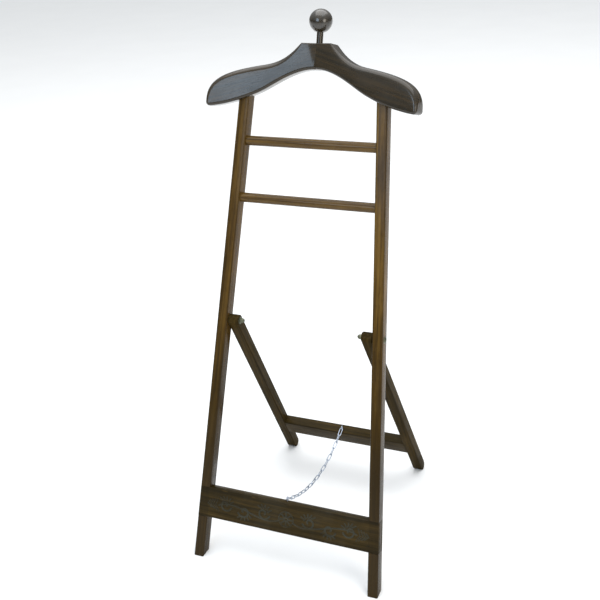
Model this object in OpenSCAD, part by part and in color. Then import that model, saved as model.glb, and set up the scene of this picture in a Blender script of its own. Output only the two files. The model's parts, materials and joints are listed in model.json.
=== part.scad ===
// Folding valet stand: a leaning front frame with a coat hanger and two rails,
// and a rear frame that swings on two bolts and is held back by a chain.
// Millimetres, +Z up. The origin is on the floor, at the middle of the stand's footprint.

/* [Front frame] */
// Lean of the front frame back from upright, in degrees
lean = 17.7; // [12:0.1:24]
// Width of the stand across its front feet
base_w = 425; // [360:1:480]
// Inward lean of each upright, in degrees
splay = 3.2; // [1:0.1:4]
// Width of an upright, across the frame
upright_w = 22; // [18:0.5:28]
// Depth of an upright, front to back
upright_d = 28; // [24:0.5:34]
// Diameter of the two trouser rails
rail_dia = 20; // [14:0.5:24]
// Height of the lower rail, measured up the frame from the floor
lower_rail_at = 793; // [680:1:840]
// Height of the upper rail, measured up the frame from the floor
upper_rail_at = 909; // [870:1:930]
// Diameter of the tenon on each end of a rail
rail_tenon_dia = 12; // [8:0.5:13]
// Length of the tenon on each end of a rail
rail_tenon_len = 13; // [8:0.5:15]

/* [Carved board] */
// Height of the board's lower edge, measured up the frame
board_at = 94; // [60:1:140]
// Height of the board, measured up the frame
board_h = 68; // [40:1:100]
// Thickness of the board
board_t = 21; // [14:0.5:23]
// Diameter of the screws that hold the board in its notches
lap_screw_dia = 3.5; // [3:0.5:4]
// Length of the screws that hold the board in its notches
lap_screw_len = 20; // [14:0.5:22]

/* [Hanger] */
// Height of the hanger's flat top, measured up the frame
hanger_at = 1104; // [1060:1:1180]
// Thickness of the hanger
hanger_t = 32; // [28:0.5:38]
// Forward sweep of each wing, in degrees
sweep = 8.8; // [4:0.1:12]
// Distance of the front of the hanger's seam behind the front of the uprights
seam_t = 10.8; // [6:0.2:14]
// Diameter of the dowel on top of each upright
upright_dowel_dia = 8; // [6:0.5:10]
// Length of the dowel on top of each upright
upright_dowel_len = 44; // [30:1:50]
// Diameter of the dowels across the hanger's seam
seam_dowel_dia = 6; // [5:0.5:7]
// Length of the dowels across the hanger's seam
seam_dowel_len = 36; // [20:1:44]

/* [Finial] */
// Diameter of the ball
ball_dia = 46.5; // [36:0.5:56]
// Diameter of the peg that carries the ball
peg_dia = 13; // [10:0.5:15]
// Height of the peg between the hanger and the ball
peg_show = 22.5; // [14:0.5:34]
// Depth of the peg in the hanger
peg_in_hanger = 24; // [16:0.5:26]
// Depth of the peg in the ball
peg_in_ball = 20; // [12:0.5:24]

/* [Rear frame] */
// Lean of the open rear legs from upright, in degrees
rear_lean = 29.9; // [24:0.1:36]
// Height of the pivot bolts, measured up the frame
pivot_at = 535; // [480:1:600]
// Width of a rear leg, across the frame
leg_w = 23; // [18:0.5:28]
// Depth of a rear leg, which is also the diameter of its round ends
leg_d = 23; // [18:0.5:26]
// Outward lean of each rear leg, in degrees
leg_splay = 2; // [0:0.1:3]
// Gap between an upright and a rear leg at the pivot
leg_gap = 1.2; // [1:0.1:2.5]
// Distance of the stretcher's top below the pivot, measured down the leg
stretcher_at = 443; // [380:1:470]
// Height of the stretcher, measured down the leg
stretcher_h = 47; // [30:1:60]
// Thickness of the stretcher
stretcher_t = 23; // [16:0.5:26]
// Diameter of the stretcher's dowels
stretcher_dowel_dia = 8; // [6:0.5:9]
// Length of the stretcher's dowels
stretcher_dowel_len = 34; // [24:1:40]

/* [Pivot hardware] */
// Diameter of the pivot bolts
bolt_dia = 6; // [5:0.5:8]
// Diameter of a bolt's round head
head_dia = 15; // [12:0.5:18]
// Height of a bolt's round head
head_h = 4; // [3:0.5:6]
// Diameter of the washers
washer_dia = 16; // [13:0.5:18]
// Thickness of the washers under the nuts
washer_t = 1; // [0.8:0.1:1.5]
// Width across the flats of a cap nut
nut_flats = 10; // [9:0.5:13]
// Height of a cap nut
nut_h = 9.5; // [8:0.5:13]

/* [Chain] */
// Distance of the chain from the middle of the stand, to the left
chain_left = 4; // [0:1:20]
// Spare length of the chain, as a share of the distance between its eyes
chain_slack = 0.045; // [0.03:0.005:0.12]
// Diameter of the chain's wire
link_wire = 2; // [1.6:0.1:2.2]
// Inside width of a link
link_inside = 4.4; // [4.2:0.1:6]
// Diameter of the wire of the screw eyes
eye_wire = 2.2; // [1.8:0.1:2.4]
// Inside diameter of the screw eyes
eye_inside = 5.6; // [5.4:0.1:7]
// Length of a screw eye's shank in the wood
eye_shank = 14; // [8:0.5:16]

/* [Fits] */
// Play all round a glued peg, dowel, tenon or board
glue_gap = 0.05; // [0.03:0.01:0.1]
// Play all round a bolt in the rear leg that turns on it
turning_gap = 0.08; // [0.05:0.01:0.1]
// Play on each side of a washer at the pivot
washer_play = 0.1; // [0.05:0.05:0.2]
// Play between two touching rings of the chain
link_gap = 0.3; // [0.2:0.05:0.4]

/* [Hidden] */
$fn = 64;

links = 17;
over = 1;
big = 2000;
// How far the cutter above a wing reaches past it, all round
past_wing = 100;
// Room at the bottom of a blind hole
end_play = 0.5;
// Play all round a bolt head or a washer in its spot-face
seat_play = 0.5;

// Half width of the front frame, outside and inside, at a height up the frame
upright_x = upright_w / cos(splay);
function outside(s) = base_w / 2 - s * tan(splay);
function inside(s) = outside(s) - upright_x;

// Pivot, rear leg and footprint
pivot_y = pivot_at * sin(lean) + upright_d / 2 * cos(lean);
pivot_z = pivot_at * cos(lean) - upright_d / 2 * sin(lean);
leg_len = (pivot_z - leg_d / 2) / cos(rear_lean);
leg_x = leg_w / cos(leg_splay);
leg_out = inside(pivot_at) - leg_gap;
function leg_outside(l) = leg_out + l * tan(leg_splay);
footprint = pivot_y + leg_len * sin(rear_lean) + leg_d / 2;

// Hanger, drawn in the plane of a wing: [along the wing, up from its flat top, rounding]
edge_round = 11;
low_round = 6;
tip_round = 6;
top_round = 2;
neck_half = 30.5;
wing_tip = 223.5;
wing_drop = 130;
neck_depth = 50;
tip_corner = 7;
back_share = 0.6;
shoulder_out = [[neck_half, 0, top_round], [neck_half + 4, -2, 4],
                [54, -28, 10], [75, -38.3, edge_round], [104, -44, edge_round]];
shoulder_tip = [[104, -44, edge_round], [182, -58.5, edge_round],
                [224.5, -73, edge_round], [wing_tip, -119, tip_round]];
tip_end = [[wing_tip, -119, tip_round], [wing_tip, tip_corner - wing_drop - 1, tip_round - 1],
           [wing_tip, 2 - wing_drop, tip_round - 2], [wing_tip - tip_corner, -wing_drop, low_round]];
under_tip = [[wing_tip - tip_corner, -wing_drop, low_round], [180, -126, low_round],
             [130, -109.2, low_round], [98, -90.2, low_round]];
under_arch = [[98, -90.2, low_round], [72, -74.8, low_round],
              [36, -neck_depth, low_round], [0, -neck_depth, low_round]];
seam_past = 14;

// Chain
eye_stand = 0.3;
eye_centre = eye_inside / 2 + eye_wire + eye_stand;
eye_reach = eye_inside / 2 - link_wire / 2 - link_gap;
link_end = link_wire / 2 + link_gap / 2;
end_gain = link_end + eye_reach;
board_eye_t = board_t * 0.62;
eye_a = front_point(board_at + board_h + eye_centre, board_eye_t);
eye_b = rear_point(stretcher_at - eye_centre, 0);
span = norm(eye_b - eye_a);
pitch = (span * (1 + chain_slack) - 2 * end_gain) / links;
function link_len(i) = pitch + (i == 0 || i == links - 1 ? end_gain : 0);
chain_sag = find_sag();
chain_low = find_low(chain_sag);

function link_name(i) = str("chain_link_", i < 10 ? "0" : "", i);
function sum(v, i = 0) = i == len(v) - 1 ? v[i] : v[i] + sum(v, i + 1);

// Points on the two frames, as [y, z]
function front_point(s, t) =
    [s * sin(lean) + t * cos(lean) - footprint / 2, s * cos(lean) - t * sin(lean)];
function rear_point(l, t) =
    [pivot_y - footprint / 2 + l * sin(rear_lean) + t * cos(rear_lean),
     pivot_z - l * cos(rear_lean) + t * sin(rear_lean)];

// A hanging chain of equal links: the slope grows by the same step from link to link
function slope(i, sag, low) = atan(sag * (i + 0.5 - low));
function step(i, sag, low) = link_len(i) * [cos(slope(i, sag, low)), sin(slope(i, sag, low))];
function reach(sag, low) = sum([for (i = [0:links - 1]) step(i, sag, low)]);
function find_low(sag, lo = 0, hi = links, n = 40) =
    let (mid = (lo + hi) / 2)
    n == 0 ? mid
    : reach(sag, mid)[1] > (eye_b - eye_a)[1] ? find_low(sag, mid, hi, n - 1)
    : find_low(sag, lo, mid, n - 1);
function find_sag(lo = 0.001, hi = 4, n = 40) =
    let (mid = (lo + hi) / 2)
    n == 0 ? mid
    : reach(mid, find_low(mid))[0] > (eye_b - eye_a)[0] ? find_sag(mid, hi, n - 1)
    : find_sag(lo, mid, n - 1);
function link_start(i) =
    i == 0 ? eye_a : link_start(i - 1) + step(i - 1, chain_sag, chain_low);

// Bezier curve of any order through its control points
function lerp(a, b, f) = a + (b - a) * f;
function bezier(p, f) =
    len(p) == 1 ? p[0]
    : bezier([for (i = [0:len(p) - 2]) lerp(p[i], p[i + 1], f)], f);
function curve(p, n) = [for (k = [1:n]) bezier(p, k / n)];

// Places: x, then depth behind the front of the uprights, then height up the frame
module front() {
    translate([0, -footprint / 2, 0]) rotate([-lean, 0, 0]) children();
}

// Places: x, then depth behind the middle of the leg, then height above the pivot
module rear() {
    translate([0, pivot_y - footprint / 2, pivot_z]) rotate([rear_lean, 0, 0]) children();
}

// A flat shape drawn in [x, height], made solid from one depth to another
module slab(from, to) {
    translate([0, to, 0]) rotate([90, 0, 0]) linear_extrude(to - from) children();
}

// A rod along X between two places
module rod_x(from, to, d) {
    translate([from, 0, 0]) rotate([0, 90, 0]) cylinder(h = to - from, d = d);
}

module both_sides() {
    children();
    mirror([1, 0, 0]) children();
}

// ---- Hanger ----

wing_outline = concat(
    [[0, 0, top_round], [neck_half, 0, top_round]],
    curve(shoulder_out, 10), curve(shoulder_tip, 14), curve(tip_end, 5),
    curve(under_tip, 9), curve(under_arch, 9));

function inward(i) =
    let (n = len(wing_outline),
         a = wing_outline[max(i - 1, 0)],
         b = wing_outline[min(i + 1, n - 1)],
         d = [b[0] - a[0], b[1] - a[1]])
    [d[1], -d[0]] / norm(d);

// One ring of the wing's skin: the outline, drawn in by a share of its rounding.
// Its first and last points lie in the mitre, where the two wings meet.
function wing_ring(draw_in, depth_share, depth, size) = [
    for (i = [0:len(wing_outline) - 1])
        let (p = wing_outline[i], n = inward(i), r = p[2] * size, t = depth + r * depth_share,
             in_mitre = i == 0 || i == len(wing_outline) - 1)
        [in_mitre ? -t * tan(sweep) : p[0] + n[0] * r * draw_in, t, p[1] + n[1] * r * draw_in]];

module wing_skin() {
    turns = [0, 20, 40, 60, 90];
    rings = concat(
        [for (a = turns) wing_ring(1 - sin(a), 1 - cos(a), 0, 1)],
        [for (k = [len(turns) - 1:-1:0])
            wing_ring(1 - sin(turns[k]), cos(turns[k]) - 1, hanger_t, back_share)]);
    n = len(wing_outline);
    m = len(rings);
    sides = [for (k = [0:m - 2], i = [0:n - 1]) each
        let (a = k * n + i, b = k * n + (i + 1) % n) [[a, b + n, b], [a, a + n, b + n]]];
    polyhedron(
        [for (ring = rings) each ring],
        concat(sides, [[for (i = [0:n - 1]) i]], [[for (i = [n - 1:-1:0]) (m - 1) * n + i]]));
}

// Stands in the plane of the right wing: along the wing, depth, height from its flat top
module in_wing() {
    translate([0, seam_t, hanger_at]) rotate([0, 0, -sweep]) children();
}

// Everything above the underside of the right wing
module above_underside() {
    in_wing() slab(-past_wing, past_wing)
        polygon(concat(
            [[-seam_past, past_wing], [wing_tip + past_wing, past_wing],
             [wing_tip + past_wing, -wing_drop]],
            [[wing_tip - tip_corner, -wing_drop]],
            [for (p = curve(under_tip, 9)) [p[0], p[1]]],
            [for (p = curve(under_arch, 9)) [p[0], p[1]]],
            [[-seam_past, -neck_depth]]));
}

seam_mid = seam_t + hanger_t / cos(sweep) / 2;
seam_dowel_drop = neck_depth - 15;
seam_dowel_apart = 8;

module seam_dowel_rods(d, len) {
    for (side = [-1, 1])
        translate([0, seam_mid + side * seam_dowel_apart, hanger_at - seam_dowel_drop])
            rod_x(-len / 2, len / 2, d);
}

peg_low = hanger_at - peg_in_hanger;
module peg_hole() {
    translate([0, seam_mid, peg_low])
        cylinder(h = peg_in_hanger + over, d = peg_dia + 2 * glue_gap);
}

// The dowel on top of an upright runs along it, half in the upright and half in the wing
upright_top = hanger_at - wing_drop + 12;
dowel_t = 10;
module upright_dowel(extra_dia, extra_len) {
    translate([(outside(upright_top) + inside(upright_top)) / 2, dowel_t, upright_top])
        rotate([0, -splay, 0])
            translate([0, 0, -upright_dowel_len / 2 - extra_len / 2])
                cylinder(h = upright_dowel_len + extra_len, d = upright_dowel_dia + extra_dia);
}

module wing() {
    difference() {
        in_wing() wing_skin();
        seam_dowel_rods(seam_dowel_dia + 2 * glue_gap, seam_dowel_len + 4 * end_play);
        peg_hole();
        upright_dowel(2 * glue_gap, 1);
    }
}

module hanger_right() {
    color("#3b2a1c") front() wing();
}

module hanger_left() {
    color("#4a3f38") front() mirror([1, 0, 0]) wing();
}

module seam_dowels() {
    color("#c9a878") front() seam_dowel_rods(seam_dowel_dia, seam_dowel_len);
}

module upright_dowels() {
    color("#c9a878") front() both_sides() upright_dowel(0, 0);
}

// ---- Finial ----

ball_low = hanger_at + peg_show;
ball_flat = sqrt(pow(ball_dia / 2, 2) - pow(peg_dia / 2 + 1.5, 2));

module finial_peg() {
    color("#33271d") front() translate([0, seam_mid, peg_low + 1])
        cylinder(h = peg_in_hanger - 1 + peg_show + peg_in_ball - 1, d = peg_dia);
}

module finial_ball() {
    color("#2f261e") front() translate([0, seam_mid, ball_low]) difference() {
        intersection() {
            translate([0, 0, ball_flat]) sphere(d = ball_dia, $fn = 96);
            translate([-big / 2, -big / 2, 0]) cube(big);
        }
        translate([0, 0, -over]) cylinder(h = peg_in_ball + over, d = peg_dia + 2 * glue_gap);
    }
}

// ---- Front frame ----

module upright_right_solid() {
    low = -upright_d * tan(lean) - over;
    high = hanger_at - neck_depth;
    difference() {
        slab(0, upright_d)
            polygon([[inside(low), low], [outside(low), low],
                     [outside(high), high], [inside(high), high]]);
        above_underside();
        upright_dowel(2 * glue_gap, 1);
        for (s = [lower_rail_at, upper_rail_at])
            translate([0, upright_d / 2, s])
                rod_x(0, inside(s) + rail_tenon_len + end_play, rail_tenon_dia + 2 * glue_gap);
        slab(-over, board_t)
            translate([0, board_at - glue_gap]) square([big / 2, board_h + 2 * glue_gap]);
        translate([0, upright_d / 2, pivot_at])
            rod_x(0, big / 2, bolt_dia + 2 * glue_gap);
        translate([0, upright_d / 2, pivot_at])
            rod_x(head_seat, big / 2, head_dia + 2 * seat_play);
        translate([0, upright_d / 2, pivot_at])
            rod_x(0, spacer_seat, seat_dia);
        lap_screws_right(2 * glue_gap);
    }
}

// The feet are cut level with the floor
module on_floor() {
    difference() {
        children();
        translate([-big / 2, -big / 2, -big]) cube(big);
    }
}

module upright_right() {
    color("#6b5026") on_floor() front() upright_right_solid();
}

module upright_left() {
    color("#6b5026") on_floor() front() mirror([1, 0, 0]) upright_right_solid();
}

// The space between the uprights, less the glue line
module between_uprights(s) {
    tall = rail_dia;
    slab(-big / 2, big / 2)
        polygon([[-inside(s - tall) + glue_gap, s - tall], [inside(s - tall) - glue_gap, s - tall],
                 [inside(s + tall) - glue_gap, s + tall], [-inside(s + tall) + glue_gap, s + tall]]);
}

module rail(s) {
    long = inside(s) + rail_tenon_len;
    intersection() {
        translate([0, upright_d / 2, s]) rod_x(-long, long, rail_dia);
        between_uprights(s);
    }
    translate([0, upright_d / 2, s]) rod_x(-long, long, rail_tenon_dia);
}

module upper_rail() {
    color("#4d3a20") front() rail(upper_rail_at);
}

module lower_rail() {
    color("#4d3a20") front() rail(lower_rail_at);
}

module front_board() {
    low = board_at;
    high = board_at + board_h;
    color("#3a3020") front() difference() {
        slab(0, board_t - glue_gap)
            polygon([[-outside(low), low], [outside(low), low],
                     [outside(high), high], [-outside(high), high]]);
        both_sides() lap_screws_right(2 * glue_gap);
        eye_hole(board_eye_t, high, -1);
    }
}

// Two countersunk screws at each end, driven from the back of the upright into the board
lap_screw_inset = 14;
screw_head_dia = 2 * lap_screw_dia;
screw_slot_w = 0.9;
screw_slot_deep = 1;
screw_slot_turn = 35;

module lap_screws_right(extra) {
    for (s = [board_at + lap_screw_inset, board_at + board_h - lap_screw_inset])
        translate([(outside(s) + inside(s)) / 2, upright_d, s]) rotate([90, 0, 0]) {
            cylinder(h = lap_screw_len + extra / 2, d = lap_screw_dia + extra);
            cylinder(h = lap_screw_dia / 2, d1 = screw_head_dia + extra, d2 = lap_screw_dia + extra);
            if (extra > 0) translate([0, 0, -over])
                cylinder(h = over, d = screw_head_dia + extra);
        }
}

module lap_screws() {
    color("#b9a25a") front() both_sides() difference() {
        lap_screws_right(0);
        for (s = [board_at + lap_screw_inset, board_at + board_h - lap_screw_inset])
            translate([(outside(s) + inside(s)) / 2, upright_d, s])
                rotate([0, screw_slot_turn, 0])
                    cube([screw_head_dia + 2 * over, 2 * screw_slot_deep, screw_slot_w], center = true);
    }
}

// ---- Pivots ----

seat_dia = washer_dia + 2 * seat_play;
head_seat = outside(pivot_at) - (head_dia / 2 + seat_play) * tan(splay);
spacer_seat = inside(pivot_at) + seat_dia / 2 * tan(splay);
leg_seat = leg_out - seat_dia / 2 * tan(leg_splay);
nut_x = leg_out - leg_x - washer_dia / 2 * tan(leg_splay) - washer_play - washer_t;
nut_skirt = 0.55 * nut_h;
nut_corner_dia = nut_flats / cos(30);
nut_dome_dia = nut_flats - 0.8;

module at_pivot() {
    translate([0, pivot_y - footprint / 2, pivot_z]) children();
}

module pivot_bolt() {
    at_pivot() {
        rod_x(nut_x - nut_skirt, head_seat, bolt_dia);
        translate([head_seat, 0, 0]) rotate([0, 90, 0]) round_head();
    }
}

// A shallow dome: the cap of a ball
module round_head() {
    ball_r = (pow(head_dia / 2, 2) + pow(head_h, 2)) / (2 * head_h);
    intersection() {
        translate([0, 0, head_h - ball_r]) sphere(r = ball_r, $fn = 96);
        cylinder(h = head_h, d = head_dia);
    }
}

module pivot_bolt_right() {
    color("#7d7a68") pivot_bolt();
}

module pivot_bolt_left() {
    color("#7d7a68") mirror([1, 0, 0]) pivot_bolt();
}

module washer(from, to) {
    at_pivot() difference() {
        rod_x(from, to, washer_dia);
        rod_x(from - over, to + over, bolt_dia + 2 * glue_gap);
    }
}

module spacing_washers() {
    color("#8d8a78") both_sides() washer(leg_seat + washer_play, spacer_seat - washer_play);
}

module nut_washers() {
    color("#8d8a78") both_sides() washer(nut_x, nut_x + washer_t);
}

module cap_nut() {
    at_pivot() translate([nut_x, 0, 0]) rotate([0, -90, 0]) difference() {
        union() {
            cylinder(h = nut_skirt, d = nut_corner_dia, $fn = 6);
            intersection() {
                translate([0, 0, nut_h - nut_dome_dia / 2]) sphere(d = nut_dome_dia, $fn = 64);
                cylinder(h = nut_h, d = nut_flats);
            }
            cylinder(h = nut_h - nut_dome_dia / 2, d = nut_dome_dia);
        }
        translate([0, 0, -over])
            cylinder(h = nut_skirt + over + end_play, d = bolt_dia + 2 * glue_gap);
    }
}

module cap_nut_right() {
    color("#86836f") cap_nut();
}

module cap_nut_left() {
    color("#86836f") mirror([1, 0, 0]) cap_nut();
}

// ---- Rear frame ----

module rear_leg() {
    difference() {
        rear() intersection() {
            slab(-leg_d / 2, leg_d / 2)
                polygon([[leg_outside(-leg_d) - leg_x, leg_d], [leg_outside(-leg_d), leg_d],
                         [leg_outside(leg_len + leg_d), -leg_len - leg_d],
                         [leg_outside(leg_len + leg_d) - leg_x, -leg_len - leg_d]]);
            union() {
                rod_x(0, big / 2, leg_d);
                translate([0, 0, -leg_len]) rod_x(0, big / 2, leg_d);
                translate([0, -leg_d / 2, -leg_len]) cube([big / 2, leg_d, leg_len]);
            }
        }
        at_pivot() rod_x(0, big / 2, bolt_dia + 2 * turning_gap);
        at_pivot() rod_x(leg_seat, big / 2, seat_dia);
        rear() stretcher_dowels_right(2 * glue_gap, 1);
    }
}

module rear_leg_right() {
    color("#57431f") rear_leg();
}

module rear_leg_left() {
    color("#57431f") mirror([1, 0, 0]) rear_leg();
}

dowel_inset = 12;
module stretcher_dowels_right(extra_dia, extra_len) {
    for (l = [stretcher_at + dowel_inset, stretcher_at + stretcher_h - dowel_inset])
        translate([leg_outside(l) - leg_x - stretcher_dowel_len / 2 - extra_len / 2, 0, -l])
            rod_x(0, stretcher_dowel_len + extra_len, stretcher_dowel_dia + extra_dia);
}

module stretcher_dowels() {
    color("#c9a878") rear() both_sides() stretcher_dowels_right(0, 0);
}

module rear_stretcher() {
    high = stretcher_at;
    low = stretcher_at + stretcher_h;
    wide = leg_outside(high) - leg_x - glue_gap;
    wide_low = leg_outside(low) - leg_x - glue_gap;
    color("#33291a") rear() difference() {
        slab(-stretcher_t / 2, stretcher_t / 2)
            polygon([[-wide_low, -low], [wide_low, -low], [wide, -high], [-wide, -high]]);
        both_sides() stretcher_dowels_right(2 * glue_gap, 1);
        eye_hole(0, -high, -1);
    }
}

// ---- Chain ----

// The hole for a screw eye's shank, in a face that looks up the frame
module eye_hole(t, s, past) {
    translate([-chain_left, t, s + past * (eye_shank + end_play)])
        cylinder(h = eye_shank + end_play + over, d = eye_wire + 2 * glue_gap);
}

// A ring on a shank, with its centre at the origin and its shank down
module screw_eye() {
    ring_r = (eye_inside + eye_wire) / 2;
    rotate([0, 90, 0]) rotate_extrude($fn = 48) translate([ring_r, 0]) circle(d = eye_wire, $fn = 24);
    translate([0, 0, -eye_centre - eye_shank])
        cylinder(h = eye_shank + eye_centre - ring_r, d = eye_wire);
}

module board_eye() {
    color("#aeb6c2") front()
        translate([-chain_left, board_eye_t, board_at + board_h + eye_centre]) screw_eye();
}

module stretcher_eye() {
    color("#aeb6c2") rear()
        translate([-chain_left, 0, -stretcher_at + eye_centre]) screw_eye();
}

// A link along +Y from its first hinge point, with its round ends past the hinge points.
// At a screw eye the end stops short inside the eye, so that the wires meet.
module link_ring(from, to) {
    bend_r = (link_inside + link_wire) / 2;
    for (side = [-1, 1])
        translate([side * bend_r, from + bend_r, 0]) rotate([-90, 0, 0])
            cylinder(h = to - from - 2 * bend_r, d = link_wire, $fn = 24);
    translate([0, to - bend_r, 0]) rotate_extrude(angle = 180, $fn = 48)
        translate([bend_r, 0]) circle(d = link_wire, $fn = 24);
    translate([0, from + bend_r, 0]) rotate([0, 0, 180]) rotate_extrude(angle = 180, $fn = 48)
        translate([bend_r, 0]) circle(d = link_wire, $fn = 24);
}

module chain_link(i) {
    from = i == 0 ? eye_reach : -link_end;
    to = i == links - 1 ? link_len(i) - eye_reach : link_len(i) + link_end;
    start = link_start(i);
    color("#a9b2c4") translate([-chain_left, start[0], start[1]])
        rotate([slope(i, chain_sag, chain_low), 0, 0])
            rotate([0, i % 2 == 0 ? 0 : 90, 0]) link_ring(from, to);
}

upright_left();
upright_right();
hanger_left();
hanger_right();
seam_dowels();
upright_dowels();
finial_peg();
finial_ball();
upper_rail();
lower_rail();
front_board();
lap_screws();
pivot_bolt_left();
pivot_bolt_right();
spacing_washers();
nut_washers();
cap_nut_left();
cap_nut_right();
board_eye();
rear_leg_left();
rear_leg_right();
rear_stretcher();
stretcher_dowels();
stretcher_eye();
for (i = [0:links - 1])
    chain_link(i);
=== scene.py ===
"""Folding valet stand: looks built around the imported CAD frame."""

import json
import math

import bmesh
import bpy
import numpy as np
from mathutils import Matrix, Vector


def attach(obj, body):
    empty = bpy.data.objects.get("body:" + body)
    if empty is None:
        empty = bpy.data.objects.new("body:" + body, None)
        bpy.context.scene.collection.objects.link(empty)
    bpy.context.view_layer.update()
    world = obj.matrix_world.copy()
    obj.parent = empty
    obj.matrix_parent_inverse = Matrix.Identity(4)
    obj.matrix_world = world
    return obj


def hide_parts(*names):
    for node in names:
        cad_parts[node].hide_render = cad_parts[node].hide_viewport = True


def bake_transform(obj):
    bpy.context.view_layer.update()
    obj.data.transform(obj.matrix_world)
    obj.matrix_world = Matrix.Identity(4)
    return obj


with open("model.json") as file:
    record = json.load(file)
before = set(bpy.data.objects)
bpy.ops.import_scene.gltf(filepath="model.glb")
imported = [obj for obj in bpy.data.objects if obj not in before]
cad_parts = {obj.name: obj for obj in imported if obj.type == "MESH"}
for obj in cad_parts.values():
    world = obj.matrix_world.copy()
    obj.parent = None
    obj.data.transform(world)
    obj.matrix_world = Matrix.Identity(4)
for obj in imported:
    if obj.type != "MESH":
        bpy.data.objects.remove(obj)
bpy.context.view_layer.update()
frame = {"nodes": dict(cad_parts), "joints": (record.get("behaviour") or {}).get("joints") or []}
nodes = frame["nodes"]
scene = bpy.context.scene

# ---- The frame's own directions, the same as the CAD's, in metres ----
LEAN = math.radians(17.7)
REAR_LEAN = math.radians(29.9)
SPLAY = math.radians(3.2)
LEG_SPLAY = math.radians(2.0)
SWEEP = math.radians(8.8)
FOOT = 0.47151
BASE_W = 0.425
UPRIGHT_W, UPRIGHT_D = 0.022, 0.028
BOARD_AT, BOARD_H, BOARD_T = 0.094, 0.068, 0.021
HANGER_AT, HANGER_T, SEAM_T = 1.104, 0.032, 0.0108
BACK_SHARE = 0.6

PIVOT_AT = 0.535
PIVOT = Vector(frame["joints"][0]["pos_m"])

X = Vector((1, 0, 0))
FRONT_BACK = Vector((0, math.cos(LEAN), -math.sin(LEAN)))
FRONT_UP = Vector((0, math.sin(LEAN), math.cos(LEAN)))
FRONT_ORIGIN = Vector((0, -FOOT / 2, 0))
REAR_BACK = Vector((0, math.cos(REAR_LEAN), math.sin(REAR_LEAN)))
REAR_UP = Vector((0, -math.sin(REAR_LEAN), math.cos(REAR_LEAN)))


def front(x, back, up):
    return FRONT_ORIGIN + X * x + FRONT_BACK * back + FRONT_UP * up


def rear(x, back, up):
    return PIVOT + X * x + REAR_BACK * back + REAR_UP * up


def outside(up):
    return BASE_W / 2 - up * math.tan(SPLAY)


def inside(up):
    return outside(up) - UPRIGHT_W / math.cos(SPLAY)


# ---- Node graphs ----
class Graph:
    """A short way to write a node material."""

    def __init__(self, name):
        self.material = bpy.data.materials.new(name)
        self.material.use_nodes = True
        self.tree = self.material.node_tree
        self.tree.nodes.clear()
        self.output = self.tree.nodes.new("ShaderNodeOutputMaterial")
        self.shader = self.tree.nodes.new("ShaderNodeBsdfPrincipled")
        self.tree.links.new(self.shader.outputs["BSDF"], self.output.inputs["Surface"])
        coords = self.tree.nodes.new("ShaderNodeTexCoord")
        self.place = coords.outputs["Object"]

    def put(self, socket, value):
        if isinstance(value, bpy.types.NodeSocket):
            self.tree.links.new(value, socket)
        elif value is not None:
            socket.default_value = value

    def math(self, operation, a, b=None):
        n = self.tree.nodes.new("ShaderNodeMath")
        n.operation = operation
        self.put(n.inputs[0], a)
        self.put(n.inputs[1], b)
        return n.outputs[0]

    def vector(self, operation, a, b=None):
        n = self.tree.nodes.new("ShaderNodeVectorMath")
        n.operation = operation
        self.put(n.inputs[0], a)
        self.put(n.inputs[1], b)
        return n.outputs["Value"] if operation in ("DOT_PRODUCT", "LENGTH") else n.outputs["Vector"]

    def noise(self, place, scale, detail=3.0, rough=0.55):
        n = self.tree.nodes.new("ShaderNodeTexNoise")
        self.put(n.inputs["Vector"], place)
        n.inputs["Scale"].default_value = scale
        n.inputs["Detail"].default_value = detail
        n.inputs["Roughness"].default_value = rough
        return n.outputs["Fac"]

    def stretch(self, place, scale):
        return self.vector("MULTIPLY", place, scale)

    def spread(self, value, low, high, to_low=0.0, to_high=1.0):
        n = self.tree.nodes.new("ShaderNodeMapRange")
        n.interpolation_type = "SMOOTHSTEP"
        self.put(n.inputs["Value"], value)
        ends = {"From Min": low, "From Max": high, "To Min": to_low, "To Max": to_high}
        for name, end in ends.items():
            n.inputs[name].default_value = end
        return n.outputs["Result"]

    def ramp(self, value, stops):
        n = self.tree.nodes.new("ShaderNodeValToRGB")
        self.put(n.inputs["Fac"], value)
        elements = n.color_ramp.elements
        while len(elements) < len(stops):
            elements.new(0.5)
        for element, (at, colour) in zip(elements, stops):
            element.position = at
            element.color = (*colour, 1)
        return n.outputs["Color"]

    def mix(self, share, a, b):
        n = self.tree.nodes.new("ShaderNodeMix")
        n.data_type = "RGBA"
        self.put(n.inputs[0], share)
        for socket, value in ((n.inputs[6], a), (n.inputs[7], b)):
            self.put(socket, (*value, 1) if isinstance(value, tuple) else value)
        return n.outputs[2]

    def bump(self, height, strength, distance):
        n = self.tree.nodes.new("ShaderNodeBump")
        n.inputs["Strength"].default_value = strength
        n.inputs["Distance"].default_value = distance
        self.put(n.inputs["Height"], height)
        self.put(self.shader.inputs["Normal"], n.outputs["Normal"])

    def local(self, origin, along, across, depth):
        """The place on the piece, measured from its own middle along three directions."""
        off = self.vector("SUBTRACT", self.place, tuple(origin))
        n = self.tree.nodes.new("ShaderNodeCombineXYZ")
        parts = [self.vector("DOT_PRODUCT", off, tuple(d)) for d in (along, across, depth)]
        for socket, part in zip(n.inputs, parts):
            self.put(socket, part)
        return n.outputs["Vector"], parts


# Growth rings to a metre of wood, times two pi
RING_RATE = 620.0


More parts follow.
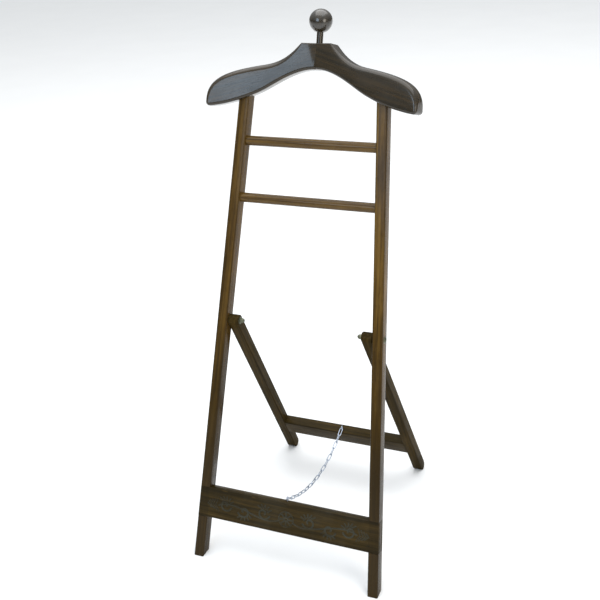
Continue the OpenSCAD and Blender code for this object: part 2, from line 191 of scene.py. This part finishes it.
def wood(name, tones, origin, along, across, depth, half=None, gloss=0.55, rough=0.26,
         grain=1.0, seed=0.0, patina=0.0, shine=0.16, darker_along=None, laps=None, carved=False):
    """Stained, lacquered hardwood. tones runs from dark to light.

    half is half the piece's width and depth, for painted shade along the long edges and for
    rubbed edges. darker_along is where along the piece the colour darkens, from and to. laps is
    how far from the middle a lap joint begins. carved reads how deep each point is cut, for a
    painted highlight on the cuts. The noises are stretched along the grain: each has its own
    rate per metre along, across and into the piece.
    """
    g = Graph(name)
    place, (run, wide, deep) = g.local(origin, along, across, depth)
    shifted = g.vector("ADD", place, (seed, seed * 0.37, seed * 0.71))
    waver = g.noise(g.stretch(shifted, (2.2, 16, 16)), 1.0, 3)
    ring_place = g.math("ADD", wide, g.math("MULTIPLY", run, 0.022))
    ring_place = g.math("ADD", ring_place, g.math("MULTIPLY", deep, 0.8))
    ring_place = g.math("ADD", ring_place, g.math("MULTIPLY", waver, 0.034))
    rings = g.math("SINE", g.math("MULTIPLY", ring_place, RING_RATE * grain))
    rings = g.math("MULTIPLY", rings, 0.5)
    rings = g.math("ADD", rings, 0.5)
    fibres = g.noise(g.stretch(shifted, (9, 620, 620)), 1.0, 4, 0.6)
    streaks = g.noise(g.stretch(shifted, (3, 150, 150)), 1.0, 3, 0.6)
    blotch = g.noise(g.stretch(shifted, (7, 26, 26)), 1.0, 3, 0.5)
    pores = g.spread(g.noise(g.stretch(shifted, (55, 1500, 1500)), 1.0, 2, 0.5), 0.60, 0.70)
    tone = g.math("ADD", g.math("MULTIPLY", rings, 0.07), g.math("MULTIPLY", fibres, 0.34))
    tone = g.math("ADD", tone, g.math("MULTIPLY", streaks, 0.32))
    tone = g.math("ADD", tone, g.math("MULTIPLY", blotch, 0.40))
    spots = [(0.36, tones[0]), (0.52, tones[1]), (0.64, tones[2]), (0.76, tones[3])]
    colour = g.ramp(tone, spots)
    dark = tuple(c * 0.35 for c in tones[0])
    colour = g.mix(g.math("MULTIPLY", pores, 0.65), colour, dark)
    if darker_along:
        # the colour is darker towards one end: on the uprights, towards the foot
        low, high = darker_along
        ragged_run = g.math("ADD", run, g.math("MULTIPLY", blotch, 0.12))
        darker_end = g.spread(ragged_run, low, high, 0.85, 0.0)
        colour = g.mix(darker_end, colour, tones[0])
    if half:
        near_w = g.math("DIVIDE", g.math("ABSOLUTE", wide), half[0])
        near_d = g.math("DIVIDE", g.math("ABSOLUTE", deep), half[1])
        edge = g.math("MINIMUM", near_w, near_d)
        # painted shade: a ragged band along the long rounded edges is darkened towards the darkest tone,
        # as if turned from the light
        edge_shade = g.math("MULTIPLY", g.math("SUBTRACT", streaks, 0.5), 0.22)
        edge_shade = g.math("ADD", edge, edge_shade)
        colour = g.mix(g.spread(edge_shade, 0.70, 1.0, 0.0, 0.6), colour, tones[0])
        rub = g.noise(g.stretch(shifted, (22, 60, 60)), 1.0, 2)
        worn = g.math("MULTIPLY", g.spread(edge, 0.93, 0.985), g.spread(rub, 0.56, 0.68))
        colour = g.mix(g.math("MULTIPLY", worn, 0.55), colour, tones[3])
    if patina:
        dust = g.noise(g.stretch(shifted, (14, 14, 14)), 1.0, 4, 0.6)
        dusty = g.math("MULTIPLY", g.spread(dust, 0.45, 0.7), patina)
        colour = g.mix(dusty, colour, (0.12, 0.125, 0.11))
    if laps:
        over = g.math("ABSOLUTE", run)
        colour = g.mix(g.spread(over, laps - 0.001, laps + 0.001, 0.0, 0.22), colour, dark)
    if carved:
        marks = g.tree.nodes.new("ShaderNodeAttribute")
        marks.attribute_name = "cut"
        # painted highlight: the carved strokes are mixed towards a pale bluish grey, in patches
        carved_sheen = g.spread(blotch, 0.35, 0.6, 0.25, 0.75)
        carved_sheen = g.math("MULTIPLY", marks.outputs["Fac"], carved_sheen)
        colour = g.mix(carved_sheen, colour, (0.052, 0.058, 0.048))
    g.put(g.shader.inputs["Base Color"], colour)
    smear = g.noise(g.stretch(shifted, (18, 40, 40)), 1.0, 4, 0.6)
    g.put(g.shader.inputs["Roughness"], g.spread(smear, 0.3, 0.75, rough - 0.07, rough + 0.14))
    g.shader.inputs["Coat Weight"].default_value = gloss
    g.shader.inputs["Coat Roughness"].default_value = 0.12
    g.shader.inputs["IOR"].default_value = 1.5
    g.shader.inputs["Specular IOR Level"].default_value = shine
    height = g.math("SUBTRACT", g.math("MULTIPLY", fibres, 0.5), g.math("MULTIPLY", pores, 0.8))
    swell = g.noise(g.stretch(shifted, (10, 45, 45)), 1.0, 2)
    height = g.math("ADD", height, g.math("MULTIPLY", swell, 0.8))
    g.bump(height, 0.35, 0.0004)
    return g.material


def plated(name, colour, tarnish, rough, scale=220.0, amount=0.5):
    """Plated metal with fine brushing, dull patches and grime."""
    g = Graph(name)
    patches = g.noise(g.place, scale, 4, 0.6)
    fine = g.noise(g.stretch(g.place, (2600, 900, 900)), 1.0, 3)
    grime = g.spread(patches, 0.42, 0.68)
    base = g.mix(g.math("MULTIPLY", fine, 0.35), colour, tuple(c * 0.72 for c in colour))
    dirty = g.mix(g.math("MULTIPLY", grime, amount), base, tarnish)
    g.put(g.shader.inputs["Base Color"], dirty)
    g.put(g.shader.inputs["Roughness"], g.spread(patches, 0.3, 0.75, rough - 0.06, rough + 0.18))
    g.shader.inputs["Metallic"].default_value = 1.0
    g.bump(g.math("ADD", fine, patches), 0.2, 0.0001)
    return g.material


# ---- Mesh building ----
def piece(name, points, faces, material, body, smooth=35, replaced=()):
    mesh = bpy.data.meshes.new(name)
    mesh.from_pydata([tuple(p) for p in points], [], faces)
    mesh.validate()
    mesh.update()
    obj = bpy.data.objects.new(name, mesh)
    scene.collection.objects.link(obj)
    finish_mesh(obj, smooth)
    mesh.materials.append(material)
    if body:
        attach(obj, body)
    if replaced:
        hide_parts(*replaced)
    return obj


def finish_mesh(obj, smooth):
    """Outward normals, and smooth shading except across edges sharper than the angle."""
    bm = bmesh.new()
    bm.from_mesh(obj.data)
    bmesh.ops.recalc_face_normals(bm, faces=bm.faces)
    for f in bm.faces:
        f.smooth = True
    limit = math.radians(smooth)
    for e in bm.edges:
        e.smooth = len(e.link_faces) == 2 and e.calc_face_angle(0.0) < limit
    bm.to_mesh(obj.data)
    bm.free()


def skin(rings):
    """Faces joining rings of equal length, with both ends closed."""
    n, faces = len(rings[0]), []
    for k in range(len(rings) - 1):
        for i in range(n):
            j = (i + 1) % n
            faces.append((k * n + i, k * n + j, (k + 1) * n + j, (k + 1) * n + i))
    last = (len(rings) - 1) * n
    faces.append(tuple(range(n - 1, -1, -1)))
    faces.append(tuple(range(last, last + n)))
    return [p for ring in rings for p in ring], faces


def section(left, right, near, far, radius, steps=5):
    """A rectangle with round corners, as (across, depth) pairs."""
    radius = min(radius, (right - left) * 0.49, (far - near) * 0.49)
    corners = [(right - radius, near + radius, -90), (right - radius, far - radius, 0),
               (left + radius, far - radius, 90), (left + radius, near + radius, 180)]
    out = []
    for cx, cy, start in corners:
        for k in range(steps + 1):
            a = math.radians(start + 90 * k / steps)
            out.append((cx + radius * math.cos(a), cy + radius * math.sin(a)))
    return out


# ---- Wood pieces of the front frame ----
BROWN = [(0.022, 0.014, 0.0045), (0.066, 0.036, 0.009),
         (0.125, 0.070, 0.015), (0.20, 0.115, 0.028)]
OLIVE = [(0.013, 0.0092, 0.0030), (0.026, 0.0175, 0.0050),
         (0.046, 0.029, 0.0078), (0.078, 0.048, 0.013)]
WALNUT = [(0.010, 0.0072, 0.0030), (0.019, 0.0130, 0.0046),
          (0.032, 0.020, 0.0065), (0.050, 0.030, 0.010)]


# How far below the hanger's flat top the uprights end, inside the wings
UPRIGHT_BELOW = 0.095


def upright(side, name):
    """One upright: thinner behind the board's notch, its foot level and its top in the wing."""
    high = HANGER_AT - UPRIGHT_BELOW
    steps = [(0.0, 0, UPRIGHT_D), (BOARD_AT, 0, UPRIGHT_D), (BOARD_AT, BOARD_T, UPRIGHT_D),
             (BOARD_AT + BOARD_H, BOARD_T, UPRIGHT_D), (BOARD_AT + BOARD_H, 0, UPRIGHT_D)]
    notch_top, count = BOARD_AT + BOARD_H, 12
    steps += [(notch_top + (high - notch_top) * k / count, 0, UPRIGHT_D) for k in range(1, count + 1)]
    rings = []
    for k, (up, near, far) in enumerate(steps):
        ring = []
        for across, back in section(inside(up), outside(up), near, far, 0.0022):
            s = up if k else back * math.tan(LEAN)
            shift = 0 if k else (outside(s) - outside(up))
            ring.append(front(side * (across + shift), back, s))
        rings.append(ring)
    points, faces = skin(rings)
    along = (FRONT_UP * math.cos(SPLAY) - X * side * math.sin(SPLAY)).normalized()
    across = along.cross(FRONT_BACK).normalized()
    middle = front(side * (inside(0.5) + outside(0.5)) / 2, UPRIGHT_D / 2, 0.5)
    look = wood(name + "_wood", BROWN, middle, along, across, FRONT_BACK,
                half=(UPRIGHT_W / 2, UPRIGHT_D / 2), seed=0.31 + side, gloss=0.12, shine=0.06,
                darker_along=(-0.20, 0.26))
    return piece(name + "_solid", points, faces, look, "front_frame",
                 replaced=(name,))


upright(-1, "upright_left")
upright(1, "upright_right")


# ---- Hanger wings: the CAD's own outline, drawn finer ----
def bezier(control, share):
    """The point at a share of the way along a Bezier curve."""
    control = np.array(control, float)
    while len(control) > 1:
        control = control[:-1] * (1 - share) + control[1:] * share
    return control[0]


def curve(control, count):
    return [bezier(control, k / count) for k in range(1, count + 1)]


def wing_outline():
    """Along the wing, up from its flat top, and the edge's rounding."""
    out = curve([(30.5, 0, 2), (34.5, -2, 4), (54, -28, 10), (75, -38.3, 11), (104, -44, 11)], 36)
    out += curve([(104, -44, 11), (182, -58.5, 11), (224.5, -73, 11), (223.5, -119, 6)], 48)
    out += curve([(223.5, -119, 6), (223.5, -124, 5), (223.5, -128, 4), (216.5, -130, 6)], 12)
    out += curve([(216.5, -130, 6), (180, -126, 6), (130, -109.2, 6), (98, -90.2, 6)], 30)
    out += curve([(98, -90.2, 6), (72, -74.8, 6), (36, -50, 6), (0, -50, 6)], 30)
    flat = [np.array((u, 0.0, 2.0)) for u in (0.0, 0.8, 8, 16, 24, 30.5)]
    out.insert(len(out) - 1, np.array((0.8, -50.0, 6.0)))
    return np.array(flat + out) / 1000


def wing(side, name):
    outline = wing_outline()
    n = len(outline)
    before = outline[np.maximum(np.arange(n) - 1, 0)]
    after = outline[np.minimum(np.arange(n) + 1, n - 1)]
    run = after[:, :2] - before[:, :2]
    inward = np.stack([run[:, 1], -run[:, 0]], 1)
    inward /= np.maximum(np.linalg.norm(inward, axis=1), 1e-9)[:, None]
    inward[[0, 1]], inward[[-1, -2]] = (0, -1), (0, 1)
    seam_gap, seam_bevel, seam_groove = 0.00002, 0.0009, 0.0004
    turns = [math.radians(a) for a in range(0, 91, 10)]
    layers = [(1 - math.sin(a), 1 - math.cos(a), 0.0, 1.0) for a in turns]
    layers += [(1 - math.sin(a), math.cos(a) - 1, HANGER_T, BACK_SHARE) for a in reversed(turns)]
    rings = []
    for draw_in, depth_share, depth, size in layers:
        ring = []
        for i, (u, up, rounding) in enumerate(outline):
            r = rounding * size
            t = depth + r * depth_share
            end = i in (0, n - 1)
            if end or i in (1, n - 2):
                u = -t * math.tan(SWEEP) + (seam_gap if end else seam_bevel)
            groove = seam_groove if end else 0.0
            t += groove * (1 if depth == 0 else -1)
            pu = u + (0 if end or i in (1, n - 2) else inward[i][0] * r * draw_in)
            ps = up + inward[i][1] * (r * draw_in + groove)
            x = pu * math.cos(SWEEP) + t * math.sin(SWEEP)
            back = -pu * math.sin(SWEEP) + t * math.cos(SWEEP)
            ring.append(front(side * x, SEAM_T + back, HANGER_AT + ps))
        rings.append(ring)
    points, faces = skin(rings)
    along = (X * side * math.cos(SWEEP) - FRONT_BACK * math.sin(SWEEP))
    along = (along * math.cos(0.28) - FRONT_UP * math.sin(0.28)).normalized()
    depth_way = (FRONT_BACK * math.cos(SWEEP) + X * side * math.sin(SWEEP)).normalized()
    across = depth_way.cross(along).normalized()
    heart = front(side * 0.1, SEAM_T + 0.01, HANGER_AT - 0.07)
    look = wood(name + "_wood", WALNUT, heart, along, across, depth_way,
                seed=2.7 + side, gloss=0.65, rough=0.24, shine=0.2)
    return piece(name + "_solid", points, faces, look, "front_frame", smooth=40,
                 replaced=(name,))


wing(-1, "hanger_left")
wing(1, "hanger_right")


# ---- Finial: turned ball on its peg ----
def lathe(name, profile, origin, axis, side_way, look, replaced, around=96):
    other = axis.cross(side_way).normalized()
    points, faces = [], []
    for r, h in profile:
        for k in range(around):
            a = 2 * math.pi * k / around
            points.append(origin + axis * h + (side_way * math.cos(a) + other * math.sin(a)) * r)
    for j in range(len(profile) - 1):
        for k in range(around):
            m = (k + 1) % around
            faces.append((j * around + k, j * around + m, (j + 1) * around + m, (j + 1) * around + k))
    faces.append(tuple(range(around - 1, -1, -1)))
    faces.append(tuple(range((len(profile) - 1) * around, len(profile) * around)))
    return piece(name, points, faces, look, "front_frame", smooth=50, replaced=replaced)


SEAM_MID = SEAM_T + HANGER_T / math.cos(SWEEP) / 2
BALL_R, PEG_R, PEG_SHOW = 0.02325, 0.0065, 0.0225
ball_flat = math.sqrt(BALL_R**2 - (PEG_R + 0.0015) ** 2)
peg_top = front(0, SEAM_MID, HANGER_AT + PEG_SHOW)
ball_wood = wood("ball_wood", WALNUT, peg_top + FRONT_UP * ball_flat, FRONT_UP, X, FRONT_BACK,
                 seed=5.2, gloss=1.0, rough=0.30, grain=0.7, shine=0.45)
peg_wood = wood("peg_wood", WALNUT, peg_top, FRONT_UP, X, FRONT_BACK, seed=7.9, gloss=0.6)
start = math.asin(-ball_flat / BALL_R)
ball_profile = [(0.0072, 0.0)]
for k in range(1, 60):
    a = start + (math.pi / 2 - start) * k / 60
    # the lathe leaves faint rings on the turned ball
    ripple = 0.00005 * math.sin(k * 2.3)
    ball_profile.append(((BALL_R + ripple) * math.cos(a), ball_flat + (BALL_R + ripple) * math.sin(a)))
lathe("ball", ball_profile, peg_top, FRONT_UP, X, ball_wood, ("finial_ball",))
peg_profile = [(PEG_R - 0.0004, -0.0230), (PEG_R, -0.0226), (PEG_R, -0.001), (PEG_R, 0.0),
               (PEG_R, PEG_SHOW - 0.001), (PEG_R, PEG_SHOW + 0.018), (PEG_R - 0.0005, PEG_SHOW + 0.0185)]
peg_foot = front(0, SEAM_MID, HANGER_AT)
lathe("peg", peg_profile, peg_foot, FRONT_UP, X, peg_wood, ("finial_peg",))


# ---- Carved board ----
def leaf_strokes():
    """Low-relief foliage, symmetric about the board's middle.

    Each cut is its points, its width and its depth, in metres.
    """
    out = []

    def stroke(points, width, depth):
        out.append((np.array(points, float), width * 1.35, depth * 1.6))

    def arc(cx, cy, r0, r1, a0, a1, width, depth, count=40):
        pts = []
        for k in range(count + 1):
            f = k / count
            a, r = math.radians(a0 + (a1 - a0) * f), r0 + (r1 - r0) * f
            pts.append((cx + r * math.cos(a), cy + r * math.sin(a)))
        stroke(pts, width, depth)

    for s in (-1, 1):
        for k, (cx, flip) in enumerate(((0.052, 1), (0.098, -1), (0.142, 1))):
            a0, a1 = (200, 560) if s * flip > 0 else (-20, -380)
            arc(s * cx, 0.003 * flip, 0.0145, 0.003, a0, a1, 0.0019, 0.0011, 70)
            for j in range(5):
                a = math.radians((65 + 24 * j) * flip)
                root = np.array((s * (cx + 0.011 * math.cos(a)),
                                 0.003 * flip + 0.011 * math.sin(a)))
                lean = a - 0.5 * flip
                tip = root + np.array((s * 0.011 * math.cos(lean), 0.0085 * math.sin(lean)))
                bend = (root + tip) / 2 + np.array((s * 0.002, 0.001 * flip))
                stroke([bezier([root, bend, tip], f / 14) for f in range(15)], 0.0016, 0.0009)
        for j in range(4):
            u = s * (0.158 + 0.006 * j)
            leaf = 0.013 - 0.002 * j
            stroke([(u, -leaf), (u + s * 0.008, 0.0), (u + s * 0.003, leaf)], 0.0015, 0.0009)
        stem = [(s * 0.018, -0.006), (s * 0.06, -0.026), (s * 0.11, 0.022), (s * 0.158, 0)]
        stroke([bezier(stem, f / 80) for f in range(81)], 0.0017, 0.0009)
    for j in range(8):
        a = math.radians(45 * j)
        petal = [(reach * math.cos(a), reach * math.sin(a)) for reach in (0.004, 0.0135)]
        stroke(petal, 0.0018, 0.001)
    arc(0, 0, 0.0165, 0.0165, 0, 360, 0.0013, 0.0009, 90)
    return out


def carved_board():
    """The front board: its face is a grid pushed in by the cuts, its sides and back are plain."""
    count_x, count_s = 560, 92
    field_h, field_w, field_fade, field_sunk = 0.0205, 0.183, 0.003, 0.00035
    edge_round, back_bevel, lap_from = 0.0012, 0.0008, 0.19
    share = np.linspace(-1, 1, count_x)
    up = np.linspace(BOARD_AT, BOARD_AT + BOARD_H, count_s)
    half = np.array([outside(s) for s in up])
    x = share[None, :] * half[:, None]
    s = np.repeat(up[:, None], count_x, 1)
    cut = np.zeros_like(x)
    middle = BOARD_AT + BOARD_H * 0.47
    for points, width, depth in leaf_strokes():
        legs = np.diff(points, axis=0)
        dense = np.concatenate([points[:-1] + legs * f for f in (0, 0.25, 0.5, 0.75)] + [points[-1:]])
        lo, hi = dense.min(0) - width, dense.max(0) + width
        near = (x > lo[0]) & (x < hi[0]) & (s - middle > lo[1]) & (s - middle < hi[1])
        if not near.any():
            continue
        here = np.stack([x[near], s[near] - middle], 1)
        gap = np.sqrt(((here[:, None] - dense[None]) ** 2).sum(2)).min(1)
        cut[near] = np.maximum(cut[near], depth * np.clip(1 - (gap / width) ** 2, 0, 1))
    marks = (cut / max(cut.max(), 1e-9)).ravel()
    # the field between the leaves is sunk a little
    band = np.clip(1 - (np.abs(s - middle) / field_h) ** 8, 0, 1)
    band = band * np.clip((field_w - np.abs(x)) / field_fade, 0, 1)
    cut += field_sunk * band
    to_end = (1 - np.abs(share))[None, :] * half[:, None]
    edge = np.minimum(np.minimum(s - BOARD_AT, BOARD_AT + BOARD_H - s), to_end)
    cut += edge_round * np.clip(1 - edge / edge_round, 0, 1) ** 2
    points = [front(x[j, i], cut[j, i], s[j, i]) for j in range(count_s) for i in range(count_x)]
    starts = [j * count_x + i for j in range(count_s - 1) for i in range(count_x - 1)]
    faces = [(k, k + 1, k + 1 + count_x, k + count_x) for k in starts]
    rim = list(range(count_x)) + [j * count_x + count_x - 1 for j in range(1, count_s)]
    rim += [(count_s - 1) * count_x + i for i in range(count_x - 2, -1, -1)]
    rim += [j * count_x for j in range(count_s - 2, 0, -1)]
    first = len(points)
    flat_x, flat_s = x.ravel(), s.ravel()
    for inset, back in ((0, BOARD_T - edge_round), (back_bevel, BOARD_T - 0.00005)):
        for i in rim:
            px = flat_x[i]
            px -= math.copysign(min(inset, abs(px)), px) * (abs(px) > lap_from)
            ps = flat_s[i]
            ps += inset * (ps < BOARD_AT + 1e-6) - inset * (ps > BOARD_AT + BOARD_H - 1e-6)
            points.append(front(px, back, ps))
    m = len(rim)
    for k in range(m):
        q = (k + 1) % m
        faces.append((rim[k], rim[q], first + q, first + k))
        faces.append((first + k, first + q, first + m + q, first + m + k))
    faces.append(tuple(first + m + k for k in range(m)))
    look = wood("board_wood_carved", OLIVE, front(0, BOARD_T / 2, middle), X, FRONT_UP, FRONT_BACK,
                half=(BOARD_H / 2, BOARD_T / 2), seed=11.3, gloss=0.05, rough=0.4, shine=0.06,
                patina=0.06, laps=inside(middle), carved=True)
    board = piece("board_carved", points, faces, look, "front_frame", smooth=42,
                  replaced=("front_board",))
    layer = board.data.attributes.new("cut", "FLOAT", "POINT")
    values = np.zeros(len(board.data.vertices), np.float32)
    values[:len(marks)] = marks
    layer.data.foreach_set("value", values)


carved_board()


# ---- Rear frame ----
LEG_W = LEG_D = 0.023
LEG_GAP = 0.0012
LEG_LEN = (PIVOT.z - LEG_D / 2) / math.cos(REAR_LEAN)
leg_face = inside(PIVOT_AT) - LEG_GAP


def rear_leg(side, name):
    """A leg with both ends rounded, seen from the side."""
    arc_steps = [math.radians(a) for a in (4, 12, 22, 34, 46, 58, 70, 80, 90)]
    stations = [(math.cos(a) * LEG_D / 2, math.sin(a)) for a in arc_steps]
    stations += [(-LEG_LEN * k / 10, 1.0) for k in range(1, 10)]
    stations += [(-LEG_LEN - math.cos(a) * LEG_D / 2, math.sin(a)) for a in reversed(arc_steps)]
    rings = []
    for up, share in stations:
        outer = leg_face - up * math.tan(LEG_SPLAY)
        half = LEG_D / 2 * share
        rings.append([rear(side * across, back, up) for across, back in
                      section(outer - LEG_W / math.cos(LEG_SPLAY), outer, -half, half, 0.002)])
    points, faces = skin(rings)
    along = (REAR_UP * math.cos(LEG_SPLAY) - X * side * math.sin(LEG_SPLAY)).normalized()
    across = along.cross(REAR_BACK).normalized()
    middle = rear(side * (leg_face + 0.25 * math.tan(LEG_SPLAY) - LEG_W / 2), 0, -0.25)
    look = wood(name + "_wood", OLIVE, middle, along, across, REAR_BACK,
                half=(LEG_W / 2, LEG_D / 2), seed=14.1 + side, gloss=0.03, rough=0.42, shine=0.01)
    return piece(name + "_solid", points, faces, look, "rear_frame", replaced=(name,))


rear_leg(-1, "rear_leg_left")
rear_leg(1, "rear_leg_right")

STRETCHER_AT, STRETCHER_H, STRETCHER_T = 0.443, 0.047, 0.023


def stretcher():
    """The board between the rear legs, its ends cut to their slant."""
    glue, count, rings = 0.00005, 12, []
    outline = section(STRETCHER_AT, STRETCHER_AT + STRETCHER_H, -STRETCHER_T / 2, STRETCHER_T / 2, 0.002)
    for k in range(count + 1):
        f = -1 + 2 * k / count
        ring = []
        for down, back in outline:
            end = leg_face + down * math.tan(LEG_SPLAY) - LEG_W / math.cos(LEG_SPLAY) - glue
            ring.append(rear(f * end, back, -down))
        rings.append(ring)
    points, faces = skin(rings)
    middle = rear(0, 0, -STRETCHER_AT - STRETCHER_H / 2)
    look = wood("stretcher_wood", OLIVE, middle, X, REAR_UP, REAR_BACK,
                half=(STRETCHER_H / 2, STRETCHER_T / 2), seed=19.4, gloss=0.06, rough=0.42, shine=0.04)
    return piece("stretcher_solid", points, faces, look, "rear_frame",
                 replaced=("rear_stretcher",))


stretcher()


# ---- CAD nodes that keep their shape ----
RAILS = {"upper_rail": 0.909, "lower_rail": 0.793}
BEECH = [(0.30, 0.20, 0.11), (0.40, 0.28, 0.16), (0.50, 0.36, 0.22), (0.58, 0.44, 0.28)]


def dress(names, look):
    """Gives each node its material and smooth shading."""
    for name in names:
        obj = nodes[name]
        obj.data.materials.clear()
        obj.data.materials.append(look)
        for polygon in obj.data.polygons:
            polygon.use_smooth = True


for name, up in RAILS.items():
    look = wood(name + "_wood", BROWN, front(0, UPRIGHT_D / 2, up), X, FRONT_UP, FRONT_BACK,
                seed=23.0 + up, gloss=0.3, rough=0.26, shine=0.1)
    dress([name], look)
dowel_look = wood("dowel_beech", BEECH, front(0, 0, 1), X, FRONT_UP, FRONT_BACK,
                  seed=31.0, gloss=0.0, rough=0.6)
dress(["seam_dowels", "upright_dowels", "stretcher_dowels"], dowel_look)
bolt_look = plated("bolt_plate", (0.15, 0.155, 0.11), (0.05, 0.05, 0.03), 0.42)
dress(["pivot_bolt_left", "pivot_bolt_right", "spacing_washers", "nut_washers",
       "cap_nut_left", "cap_nut_right"], bolt_look)
screw_look = plated("screw_plate", (0.55, 0.45, 0.22), (0.16, 0.11, 0.05), 0.38, amount=0.7)
dress(["lap_screws"], screw_look)
chain_look = plated("chain_plate", (0.50, 0.56, 0.66), (0.22, 0.25, 0.30), 0.30,
                    scale=400.0, amount=0.6)
dress(["board_eye", "stretcher_eye"], chain_look)


# ---- Chain: every link's own ring, joined into one piece ----
def chain():
    names = sorted(n for n in nodes if n.startswith("chain_link_"))
    points, faces = [], []
    for n in names:
        mesh, first = nodes[n].data, len(points)
        points += [v.co.copy() for v in mesh.vertices]
        faces += [tuple(first + i for i in p.vertices) for p in mesh.polygons]
    obj = piece("chain", points, faces, chain_look, None)
    weld = obj.modifiers.new("weld", "WELD")
    weld.merge_threshold = 0.00001
    merged = obj.evaluated_get(bpy.context.evaluated_depsgraph_get())
    welded = bpy.data.meshes.new_from_object(merged)
    obj.modifiers.clear()
    obj.data = welded
    finish_mesh(obj, 60)
    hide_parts(*names)
    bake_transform(obj)


chain()


# ---- Floor, light and camera ----
def studio():
    floor_mesh = bpy.data.meshes.new("floor")
    around, radius, below = 96, 14, -0.0002
    turns = [2 * math.pi * k / around for k in range(around)]
    rim = [(radius * math.cos(a), radius * math.sin(a), below) for a in turns]
    floor_mesh.from_pydata(rim, [], [tuple(range(around))])
    floor = bpy.data.objects.new("floor", floor_mesh)
    scene.collection.objects.link(floor)
    g = Graph("floor_paper")
    tone = g.noise(g.place, 3.0, 3)
    g.put(g.shader.inputs["Base Color"], g.mix(tone, (0.86, 0.86, 0.86), (0.90, 0.90, 0.90)))
    g.shader.inputs["Roughness"].default_value = 0.9
    floor_mesh.materials.append(g.material)

    # a soft studio: bright overhead, dim towards the horizon
    world = bpy.data.worlds.new("studio")
    world.use_nodes = True
    tree = world.node_tree
    sky = tree.nodes.new("ShaderNodeTexCoord")
    split = tree.nodes.new("ShaderNodeSeparateXYZ")
    shade = tree.nodes.new("ShaderNodeValToRGB")
    tree.links.new(sky.outputs["Generated"], split.inputs[0])
    tree.links.new(split.outputs["Z"], shade.inputs["Fac"])
    stops = shade.color_ramp.elements
    stops[0].position, stops[0].color = 0.0, (0.10, 0.10, 0.10, 1)
    stops[1].position, stops[1].color = 0.75, (0.95, 0.98, 1.0, 1)
    tree.links.new(shade.outputs["Color"], tree.nodes["Background"].inputs["Color"])
    scene.world = world

    def lamp(name, place, target, size, power, colour):
        data = bpy.data.lights.new(name, "AREA")
        data.shape, data.size, data.energy, data.color = "SQUARE", size, power, colour
        obj = bpy.data.objects.new(name, data)
        scene.collection.objects.link(obj)
        obj.location = place
        obj.rotation_mode = "QUATERNION"
        obj.rotation_quaternion = (Vector(target) - Vector(place)).to_track_quat("-Z", "Y")

    lamp("overhead", (0, 1.0, 5.0), (0, 0.5, 0), 6.0, 225, (1.0, 1.0, 1.0))
    lamp("sky_card", (-0.62, -2.75, 2.05), (-0.1, 0.05, 0.95), 1.25, 21, (0.62, 0.80, 1.0))
    lamp("fill", (2.6, -1.6, 1.5), (0, 0, 0.5), 1.4, 26, (1.0, 0.94, 0.84))
    scene.view_settings.view_transform = "Standard"


# Where the camera stands, how it is turned, and its lens in millimetres
CAMERA_AT = Vector((0.71206, -1.644685, 1.39827))
PAN, PITCH, ROLL = (math.radians(a) for a in (-24.05, 25.49, -3.74))
LENS = 57.08


def camera():
    ahead = Vector((math.sin(PAN) * math.cos(PITCH), math.cos(PAN) * math.cos(PITCH), -math.sin(PITCH)))
    right = Vector((math.cos(PAN), -math.sin(PAN), 0))
    above = right.cross(ahead)
    turned = right * math.cos(ROLL) + above * math.sin(ROLL)
    top = above * math.cos(ROLL) - right * math.sin(ROLL)
    data = bpy.data.cameras.new("camera")
    data.sensor_width, data.lens = 36.0, LENS
    obj = bpy.data.objects.new("camera", data)
    scene.collection.objects.link(obj)
    place = Matrix((turned, top, -ahead)).transposed().to_4x4()
    place.translation = CAMERA_AT
    obj.matrix_world = place
    scene.camera = obj


studio()
camera()
